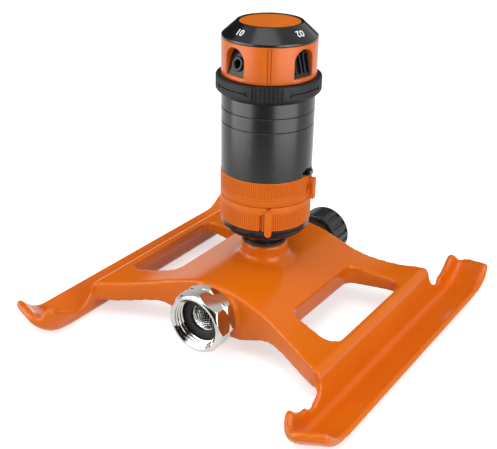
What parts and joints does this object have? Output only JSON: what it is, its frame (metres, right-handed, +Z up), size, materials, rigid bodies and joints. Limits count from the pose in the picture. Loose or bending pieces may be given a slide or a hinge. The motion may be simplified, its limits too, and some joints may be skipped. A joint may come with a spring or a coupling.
{
  "type": "part-circle turret sprinkler",
  "caption": "Gear-driven part-circle lawn sprinkler: nozzle turret and geared column with arc rings on a cast sled base, with a swivel hose inlet and a capped outlet.",
  "frame": {"origin": "on the ground, under the axis of the column", "axes": "+Z up along the column, +Y from the hose inlet to the capped outlet, +X across the runners"},
  "size_m": [0.206, 0.2128, 0.1759],
  "materials": {
    "enamel": "glossy orange enamel over cast aluminium",
    "orange_plastic": "satin orange plastic",
    "black_plastic": "satin",
    "gloss_black": "glossy",
    "collar": "fine matte grain",
    "chrome": "polished nickel plate",
    "steel": "bright",
    "mesh": "woven wire",
    "rubber": "matte",
    "brass": "machined",
    "acetal": "moulded"
  },
  "bodies": {
    "base": {"sled_base": "enamel", "inlet_tailpiece": "chrome", "filter_screen": "mesh", "outlet_spigot": "brass", "stator": "gloss_black", "neck_seal": "rubber", "central_shaft": "steel", "output_gear": "acetal", "retaining_ring": "steel"},
    "nut": {"swivel_nut": "chrome", "hose_washer": "rubber"},
    "cap": {"end_cap": "black_plastic", "cap_washer": "rubber"},
    "lower_ring": {"lower_arc_ring": "orange_plastic"},
    "upper_ring": {"upper_arc_ring": "orange_plastic"},
    "head": {"gear_housing": "black_plastic", "gear_plate": "acetal", "gear_pins": "steel", "port_plate": "black_plastic", "port_seal": "rubber", "turret_washer": "steel", "turret_screw": "steel"},
    "trip": {"trip_lever": "gloss_black"},
    "turbine": {"turbine": "acetal"},
    "first_stage": {"first_gear": "acetal"},
    "axis_stage": {"axis_gear": "acetal"},
    "last_stage": {"last_gear": "acetal"},
    "collar": {"distance_collar": "collar", "collar_key": "steel", "flow_disc": "acetal"},
    "turret": {"turret": "orange_plastic", "jet_nozzle": "gloss_black", "fan_nozzle": "gloss_black", "shower_nozzle": "gloss_black", "flat_nozzle": "gloss_black", "cone_dial": "gloss_black", "top_insert": "orange_plastic"}
  },
  "joints": [
    {"name": "nut_spin", "type": "hinge", "parent": "base", "child": "nut", "pos_m": [0, -0.06, 0.0239], "axis": [0, 1, 0], "continuous": true},
    {"name": "cap_turn", "type": "hinge", "parent": "base", "child": "cap", "pos_m": [0, 0.065, 0.0239], "axis": [0, 1, 0], "continuous": true},
    {"name": "lower_ring_set", "type": "hinge", "parent": "base", "child": "lower_ring", "pos_m": [0, 0, 0.07], "axis": [0, 0, 1], "continuous": true},
    {"name": "upper_ring_set", "type": "hinge", "parent": "base", "child": "upper_ring", "pos_m": [0, 0, 0.085], "axis": [0, 0, 1], "continuous": true},
    {"name": "head_swing", "type": "hinge", "parent": "base", "child": "head", "pos_m": [0, 0, 0.11], "axis": [0, 0, 1], "range_deg": [-58, 0]},
    {"name": "trip_rock", "type": "hinge", "parent": "head", "child": "trip", "pos_m": [0, 0, 0.095], "axis": [0, 0, 1], "range_deg": [-8, 8]},
    {"name": "turbine_spin", "type": "hinge", "parent": "head", "child": "turbine", "pos_m": [0, 0, 0.106], "axis": [0, 0, 1], "continuous": true},
    {"name": "first_gear_spin", "type": "hinge", "parent": "head", "child": "first_stage", "pos_m": [0.01003, 0.00579, 0.112], "axis": [0, 0, 1], "continuous": true},
    {"name": "axis_gear_spin", "type": "hinge", "parent": "head", "child": "axis_stage", "pos_m": [0, 0, 0.116], "axis": [0, 0, 1], "continuous": true},
    {"name": "last_gear_spin", "type": "hinge", "parent": "head", "child": "last_stage", "pos_m": [-0.01003, -0.00579, 0.119], "axis": [0, 0, 1], "continuous": true},
    {"name": "collar_turn", "type": "hinge", "parent": "head", "child": "collar", "pos_m": [0, 0, 0.142], "axis": [0, 0, 1], "range_deg": [-20, 20]},
    {"name": "turret_select", "type": "hinge", "parent": "head", "child": "turret", "pos_m": [0, 0, 0.157], "axis": [0, 0, 1], "continuous": true}
  ],
  "couplings": [
    {"joint": "last_gear_spin", "follows": "head_swing", "ratio": 2.5},
    {"joint": "axis_gear_spin", "follows": "head_swing", "ratio": -6.25},
    {"joint": "first_gear_spin", "follows": "head_swing", "ratio": 15.625},
    {"joint": "turbine_spin", "follows": "head_swing", "ratio": -39.062}
  ]
}
